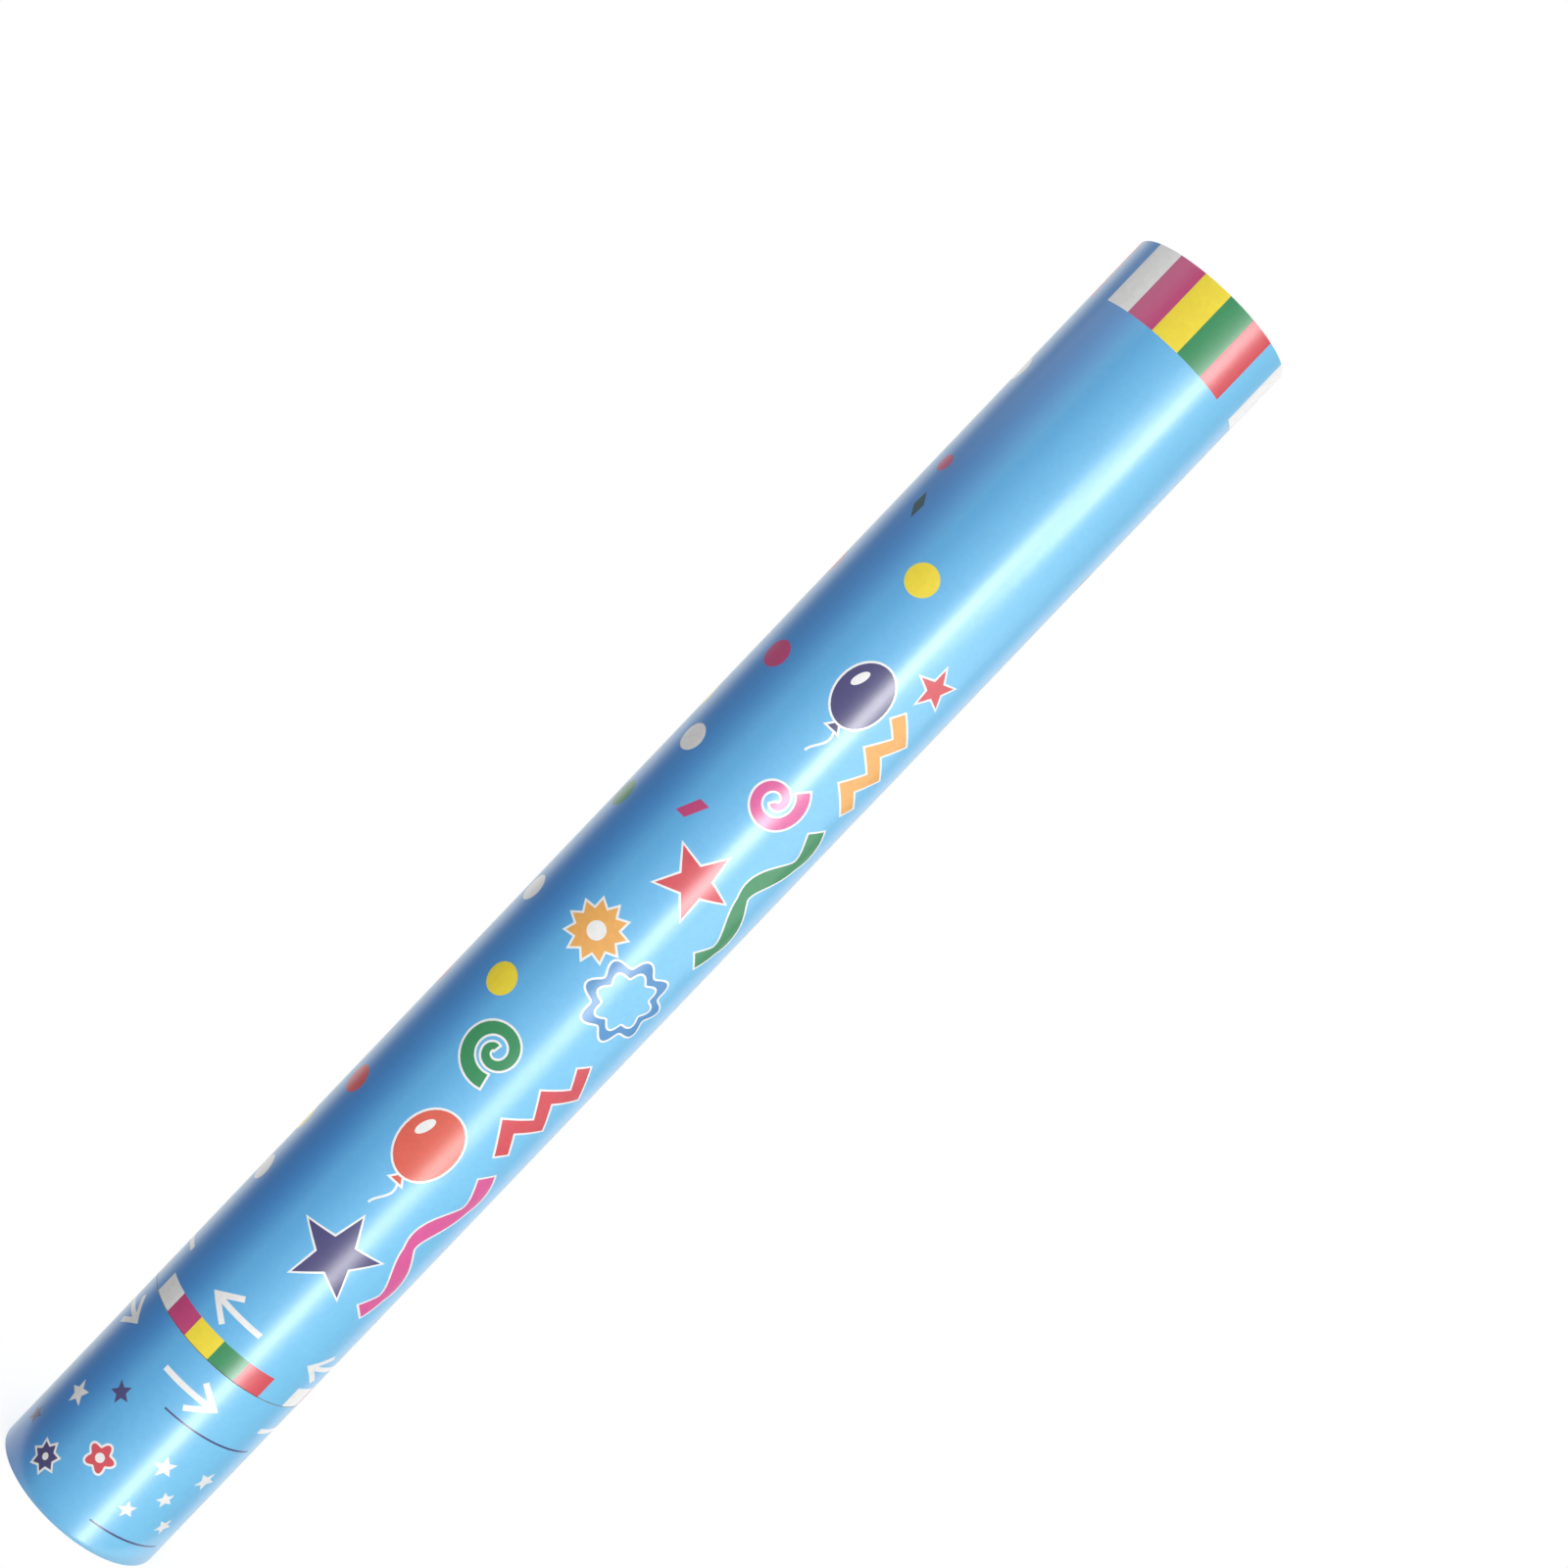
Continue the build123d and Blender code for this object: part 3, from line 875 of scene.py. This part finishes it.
def crossing(middle, normal, rim, near):
    """Whether a disc cuts one of the discs near it or lies too close to it."""
    others = near[:, 0]
    facing = near[:, 1]
    rims = near[:, 2:]
    gap = others - middle
    line = np.cross(normal, facing)
    slope = np.maximum(np.linalg.norm(line, axis=1), least_slope)
    reach = np.abs([(gap * facing).sum(1), gap @ normal]) / slope
    chords = np.sqrt(np.maximum(disc_radius ** 2 - reach ** 2, 0)).sum(0)
    cut = (reach.max(0) < disc_radius) & (np.abs((gap * line).sum(1)) / slope < chords)
    if cut.any():
        return True
    for away, upright in ((rim - others[:, None], facing[:, None]), (rims - middle, normal)):
        off = np.abs((away * upright).sum(2))
        level = (away ** 2).sum(2) - off ** 2
        if ((off < disc_room) & (level < disc_radius ** 2)).any():
            return True
    return False


def loose_discs(draw):
    """Middles and normals of discs that fill the barrel over the wad and don't cross."""
    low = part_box("pusher_wad")[1].z / MM + disc_room
    high = max(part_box("confetti_" + c)[1].z for c in tissue_colours) / MM - disc_room
    wall = wad_radius - disc_room
    ring = circle(disc_radius, disc_corners)
    laid = np.zeros((disc_tries, 2 + disc_corners, 3))
    count = 0
    for _ in range(disc_tries):
        middle, normal = proposed_disc(draw, laid[:count, 0], laid[:count, 1], low, high)
        rim = middle + ring @ disc_plane(normal)
        heights = rim[:, 2]
        furthest = (rim[:, :2] ** 2).sum(1).max()
        if heights.min() < low or heights.max() > high or furthest > wall ** 2:
            continue
        apart = ((laid[:count, 0] - middle) ** 2).sum(1)
        if crossing(middle, normal, rim, laid[:count][apart < (2 * disc_radius + disc_room) ** 2]):
            continue
        laid[count] = np.vstack([middle, normal, rim])
        count += 1
    return laid[:count, 0], laid[:count, 1]


def tissue_disc(middle, normal, turn, bend):
    """Points of one curled disc: a middle, an inner ring and a rim, above and below."""
    rings = [circle(share * disc_radius, disc_corners) for share in disc_rings]
    flat = np.vstack([(0, 0), *rings])
    bent = bend * (((flat @ (math.cos(turn), math.sin(turn))) / disc_radius) ** 2 - bend_level)
    shaped = middle + flat @ disc_plane(normal) + np.outer(bent, normal)
    half = normal * disc_thickness / 2
    return np.vstack([shaped + half, shaped - half])


def faces_of_disc(first):
    """Faces of a disc, slice by slice: a and b on its inner ring, c and d on its rim."""
    faces = []
    under = first + 2 * disc_corners + 1
    for k in range(disc_corners):
        a = 1 + k
        b = 1 + (k + 1) % disc_corners
        c = a + disc_corners
        d = b + disc_corners
        faces.append([first, first + a, first + b])
        faces.append([first + a, first + c, first + d, first + b])
        faces.append([under, under + b, under + a])
        faces.append([under + b, under + d, under + c, under + a])
        faces.append([first + c, under + c, under + d, first + d])
    return faces


def faces_of_discs(count):
    return [face for number in range(count) for face in faces_of_disc(number * disc_points)]


def curled_discs(draw, middles, normals):
    """Points of the discs, each curled its own way, and less where it would cut another.

    A disc that still cuts one laid before it is left out.
    """
    turns = draw.uniform(0, math.tau, len(middles))
    bends = draw.uniform(-disc_bend, disc_bend, len(middles))
    faces = faces_of_discs(len(middles))
    for _ in range(bend_rounds):
        discs = [tissue_disc(*disc) for disc in zip(middles, normals, turns, bends)]
        tree = BVHTree.FromPolygons(np.vstack(discs).tolist(), faces)
        pairs = np.array(tree.overlap(tree)) // disc_faces
        cutting = pairs[pairs[:, 0] != pairs[:, 1]]
        bends[np.unique(cutting)] /= 2
    spare = set(cutting.max(1))
    return [disc for number, disc in enumerate(discs) if number not in spare]


def confetti_pieces():
    """The loose discs, shared out among the colours."""
    draw = np.random.default_rng(confetti_seed)
    discs = curled_discs(draw, *loose_discs(draw))
    for number, (colour, code) in enumerate(tissue_colours.items()):
        own = discs[number::len(tissue_colours)]
        node = "confetti_" + colour
        slot = "tissue_" + colour
        tissue = fibre_finish(slot, code, scale=1800.0, depth=0.03, sheen=0.2, through=0.7)
        faces = faces_of_discs(len(own))
        new_piece(node + "_discs", np.vstack(own), faces, [tissue], "charge", slot, node)


def lathe(profile, corners=96):
    """Points and faces of a closed turned form; the profile starts and ends on the axis."""
    turns = round_turns(corners)
    points = [(0, 0, profile[0][1])]
    for radius, height in profile[1:-1]:
        points += [(radius * math.cos(t), radius * math.sin(t), height) for t in turns]
    points.append((0, 0, profile[-1][1]))
    faces = []
    rings = len(profile) - 2
    for k in range(corners):
        following = (k + 1) % corners
        faces.append([0, 1 + following, 1 + k])
        for ring in range(rings - 1):
            below = 1 + ring * corners
            above = below + corners
            faces.append([below + k, below + following, above + following, above + k])
        last = 1 + (rings - 1) * corners
        faces.append([len(points) - 1, last + k, last + following])
    return points, faces


def wad_piece():
    """Felt wad in plies, with soft edges and a slightly sunk top."""
    low, high = (corner.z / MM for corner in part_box("pusher_wad"))
    thick = (high - low) / wad_plies
    waist = wad_radius - wad_soft
    shoulder = wad_radius - wad_shoulder
    shoulder_rise = wad_shoulder_share * wad_soft
    profile = [(0, low), (waist, low)]
    for ply in range(wad_plies):
        base = low + ply * thick
        profile += [
            (shoulder, base + shoulder_rise), (wad_radius, base + wad_soft),
            (wad_radius, base + thick - wad_soft), (shoulder, base + thick - shoulder_rise),
        ]
        if ply < wad_plies - 1:
            profile.append((waist, base + thick))
    profile += [(waist, high), (wad_radius / 2, high - wad_half_sag), (0, high - wad_sag)]
    points, faces = lathe(profile)
    felt = felt_finish("wad_felt", "8d8a86")
    smooth(new_piece("pusher_wad_felt", points, faces, [felt], "charge", "wad_felt", "pusher_wad"))


def coil(radius, foot, top):
    """Points and faces of the spring's wire, with closed ends."""
    points = []
    faces = []
    steps = spring_turns * spring_steps
    for k in range(steps + 1):
        turn = math.tau * k / spring_steps
        rise = foot + (top - foot) * k / steps
        for side in range(spring_sides):
            tilt = math.tau * side / spring_sides
            reach = radius + spring_wire * math.cos(tilt)
            height = rise + spring_wire * math.sin(tilt)
            points.append((reach * math.cos(turn), reach * math.sin(turn), height))
    for k in range(steps):
        for side in range(spring_sides):
            a = k * spring_sides + side
            b = k * spring_sides + (side + 1) % spring_sides
            faces.append([a, a + spring_sides, b + spring_sides, b])
    last = len(points) - 1
    faces += [list(range(spring_sides)), list(range(last, last - spring_sides, -1))]
    return points, faces


def spring_piece():
    """Coil of the fill valve in one fixed shape; in the valve it is pressed towards its upper seat
    as the poppet opens.
    """
    low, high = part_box("fill_valve_spring")
    foot = low.z / MM + spring_wire
    top = high.z / MM - spring_wire
    points, faces = coil(high.x / MM - spring_wire, foot, top)
    steel = metal_finish("spring_steel", "c4c8ce", gloss=0.28)
    piece = new_piece("fill_valve_spring_coil", points, faces, [steel],
                      "grip", "spring_steel", "fill_valve_spring")
    smooth(piece)
    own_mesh(piece)


# Floor, light and camera

def floor_finish():
    """Pale floor: lit near the object, where its shadow falls, and plain white further out."""
    finish = Finish("floor_pale")
    reach = finish.add("ShaderNodeVectorMath", {0: finish.place}, operation="LENGTH")["Value"]
    grain = finish.ramp(finish.noise(60.0), -floor_grain, floor_grain)
    away = finish.combine("ADD", finish.ramp(reach, 0.0, 1.0, shadow_inner, shadow_outer), grain)
    grey = (floor_grey, floor_grey, floor_grey, 1)
    matt = finish.add("ShaderNodeBsdfDiffuse", {"Color": finish.blend(away, grey, (0, 0, 0, 1))})[0]
    path = finish.add("ShaderNodeLightPath")
    seen = finish.combine("MAXIMUM", path["Is Camera Ray"], path["Is Glossy Ray"])
    seen = finish.combine("MAXIMUM", seen, path["Is Transmission Ray"])
    strength = finish.combine("MULTIPLY", finish.ramp(away, floor_own_light, 1.0, 0.0, 1.0), seen)
    glow = finish.add("ShaderNodeEmission", {"Strength": strength})[0]
    both = finish.add("ShaderNodeAddShader", {0: matt, 1: glow})[0]
    under = finish.add("ShaderNodeNewGeometry")["Backfacing"]
    clear = finish.add("ShaderNodeBsdfTransparent")[0]
    one_sided = finish.add("ShaderNodeMixShader", {0: under, 1: both, 2: clear})[0]
    finish.tree.nodes.remove(finish.shader)
    finish.feed(finish.tree.nodes["Material Output"].inputs["Surface"], one_sided)
    return finish.material


def floor():
    """Small floor round the foot and behind it, open where the object stands."""
    opening = wrap_radius * MM
    turns = round_turns(floor_corners)
    points = [(floor_radius * math.cos(t), floor_radius * math.sin(t), 0) for t in turns]
    points += [(opening * math.cos(t), opening * math.sin(t) - floor_setback, 0) for t in turns]
    faces = []
    for k in range(floor_corners):
        following = (k + 1) % floor_corners
        faces.append([k, following, floor_corners + following, floor_corners + k])
    mesh = bpy.data.meshes.new("floor")
    mesh.from_pydata(points, [], faces)
    mesh.materials.append(floor_finish())
    disc = bpy.data.objects.new("floor", mesh)
    disc.location.y = floor_setback
    bpy.context.scene.collection.objects.link(disc)


def softbox(name, foot_angle, head_angle, distance, width, low, high, radiance):
    """Panel lamp beside the tube; it leans where its foot and head stand at unlike angles."""
    foot, head = (
        Vector((distance * math.sin(turn), -distance * math.cos(turn), height))
        for turn, height in ((math.radians(foot_angle), low), (math.radians(head_angle), high))
    )
    along = (head - foot).normalized()
    middle = (foot + head) / 2
    sideways = along.cross(Vector((middle.x, middle.y, 0))).normalized()
    lamp = bpy.data.lights.new(name, "AREA")
    lamp.shape = "RECTANGLE"
    lamp.size = width
    lamp.size_y = (head - foot).length
    lamp.energy = radiance * math.pi * lamp.size * lamp.size_y
    box = bpy.data.objects.new(name, lamp)
    turned = Matrix((sideways, along, sideways.cross(along))).transposed().to_4x4()
    box.matrix_world = Matrix.Translation(middle) @ turned
    box.visible_camera = False
    box.visible_glossy = name not in matt_lamps
    bpy.context.scene.collection.objects.link(box)


def studio_world():
    """White backdrop for the camera; for other rays a studio, white behind and dim in front."""
    world = bpy.data.worlds.new("studio")
    world.use_nodes = True
    bpy.context.scene.world = world
    studio = Nodes(world.node_tree)
    way = studio.add("ShaderNodeSeparateXYZ", {0: studio.add("ShaderNodeTexCoord")["Generated"]})

    def side(axis, start, full, gain):
        return studio.ramp(way[axis], 0.0, gain, start, full, interpolation_type="SMOOTHSTEP")

    level = studio_level
    for panel in studio_sides:
        level = studio.combine("ADD", side(*panel), level)
    path = studio.add("ShaderNodeLightPath")
    behind = side("Y", behind_start, behind_full, 1.0)
    mirrored = studio.combine("MULTIPLY", path["Is Glossy Ray"], behind)
    for ray in (path["Is Camera Ray"], path["Is Transmission Ray"], mirrored):
        level = studio.combine("MAXIMUM", level, ray)
    ground = world.node_tree.nodes["Background"]
    studio.feed(ground.inputs["Strength"], studio.combine("MINIMUM", level, 1.0))
    studio.feed(ground.inputs["Color"], (1, 1, 1, 1))


def photo_camera():
    """Camera level with the tube's upper half, rolled so that the tube leans to the right."""
    lens = bpy.data.cameras.new("photo_camera")
    lens.sensor_width = camera_sensor
    lens.lens = camera_lens
    lens.clip_start = camera_clip
    camera = bpy.data.objects.new("photo_camera", lens)
    pan, tilt, lean = (math.radians(angle) for angle in (camera_pan, camera_tilt, tube_lean))
    ahead = Vector((math.tan(pan), 1, math.tan(tilt))).normalized()
    upright = (Vector((0, 0, 1)) - ahead * ahead.z).normalized()
    beside = ahead.cross(upright)
    right = upright * math.cos(lean) + beside * math.sin(lean)
    turn = Matrix((right, -ahead.cross(right), -ahead)).transposed()
    camera.matrix_world = Matrix.Translation((0, -camera_distance, camera_height)) @ turn.to_4x4()
    bpy.context.scene.collection.objects.link(camera)
    bpy.context.scene.camera = camera


dress_nodes()
band_edges = (barrel_foot + foot_band_height, muzzle_rim - muzzle_band_height)
wrap_piece("barrel_label_print", "barrel_label", "barrel", barrel_print(),
           foot_overhang, band_edges)
wrap_piece("grip_label_print", "grip_label", "grip", grip_print())
confetti_pieces()
wad_piece()
spring_piece()
floor()
for lamp_name, lamp_panel in lamp_panels.items():
    softbox(lamp_name, *lamp_panel)
studio_world()
photo_camera()
bpy.context.scene.view_settings.view_transform = "Standard"
